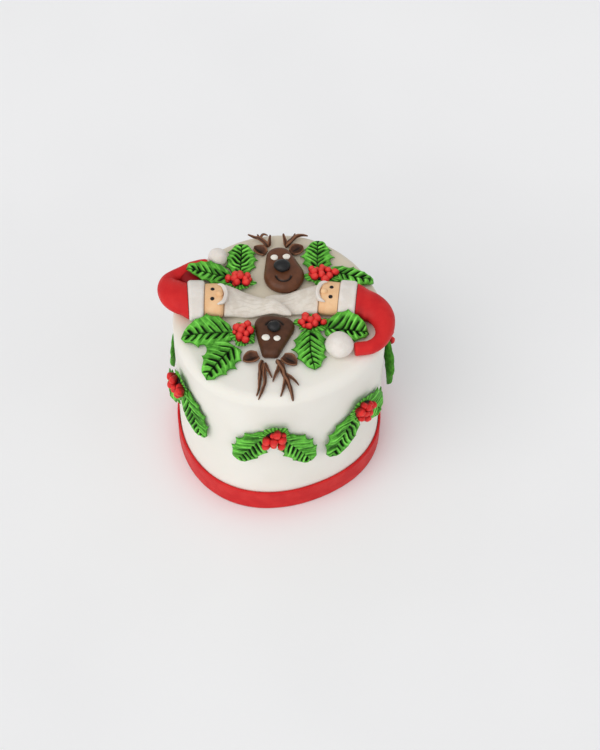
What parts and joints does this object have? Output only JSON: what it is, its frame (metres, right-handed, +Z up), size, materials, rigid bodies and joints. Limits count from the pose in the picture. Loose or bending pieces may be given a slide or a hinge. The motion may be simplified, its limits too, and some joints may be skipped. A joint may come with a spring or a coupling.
{
  "type": "christmas cake",
  "caption": "Round cake covered in white sugar paste, with a red band at the foot, holly sprigs round the side, and reindeer heads, bearded heads in red hats and holly on top.",
  "frame": {"origin": "centre of the cake's flat foot, on the surface that it stands on", "axes": "+Z up; -Y towards the front, where the sprig faces the viewer; +X to the viewer's right"},
  "size_m": [0.1682, 0.1718, 0.1464],
  "materials": {
    "white_paste": "satin",
    "pale_paste": "matte",
    "red_paste": "satin",
    "berry_red": "satin",
    "leaf_green": "satin",
    "reindeer_brown": "satin",
    "antler_brown": "satin",
    "black_paste": "satin",
    "tan_paste": "matte"
  },
  "bodies": {
    "root": {"cake": "white_paste", "ribbon": "red_paste", "beard_left": "pale_paste", "beard_right": "pale_paste", "moustache_left": "pale_paste", "moustache_right": "pale_paste", "brim_left": "pale_paste", "brim_right": "pale_paste", "pompom_left": "pale_paste", "pompom_right": "pale_paste", "face_left": "tan_paste", "face_right": "tan_paste", "hat_left": "red_paste", "hat_right": "red_paste", "reindeer_back_head": "reindeer_brown", "reindeer_back_nose": "black_paste", "reindeer_back_ear_left": "antler_brown", "reindeer_back_ear_right": "antler_brown", "reindeer_back_antler_left": "antler_brown", "reindeer_back_antler_right": "antler_brown", "reindeer_front_head": "reindeer_brown", "reindeer_front_nose": "black_paste", "reindeer_front_ear_left": "antler_brown", "reindeer_front_ear_right": "antler_brown", "reindeer_front_antler_left": "antler_brown", "reindeer_front_antler_right": "antler_brown", "holly_back_left_upright": "leaf_green", "holly_back_left_level": "leaf_green", "holly_back_right_upright": "leaf_green", "holly_back_right_level": "leaf_green", "holly_front_left_level": "leaf_green", "holly_front_left_low": "leaf_green", "holly_front_right_low": "leaf_green", "holly_front_right_level": "leaf_green", "berries_back_left": "berry_red", "berries_back_right": "berry_red", "berries_front_left": "berry_red", "berries_front_right": "berry_red", "side_leaf_left_1": "leaf_green", "side_leaf_right_1": "leaf_green", "side_berries_1": "berry_red", "side_leaf_left_2": "leaf_green", "side_leaf_right_2": "leaf_green", "side_berries_2": "berry_red", "side_leaf_left_3": "leaf_green", "side_leaf_right_3": "leaf_green", "side_berries_3": "berry_red", "side_leaf_left_4": "leaf_green", "side_leaf_right_4": "leaf_green", "side_berries_4": "berry_red", "side_leaf_left_5": "leaf_green", "side_leaf_right_5": "leaf_green", "side_berries_5": "berry_red", "side_leaf_left_6": "leaf_green", "side_leaf_right_6": "leaf_green", "side_berries_6": "berry_red", "side_leaf_left_7": "leaf_green", "side_leaf_right_7": "leaf_green", "side_berries_7": "berry_red"}
  },
  "joints": []
}
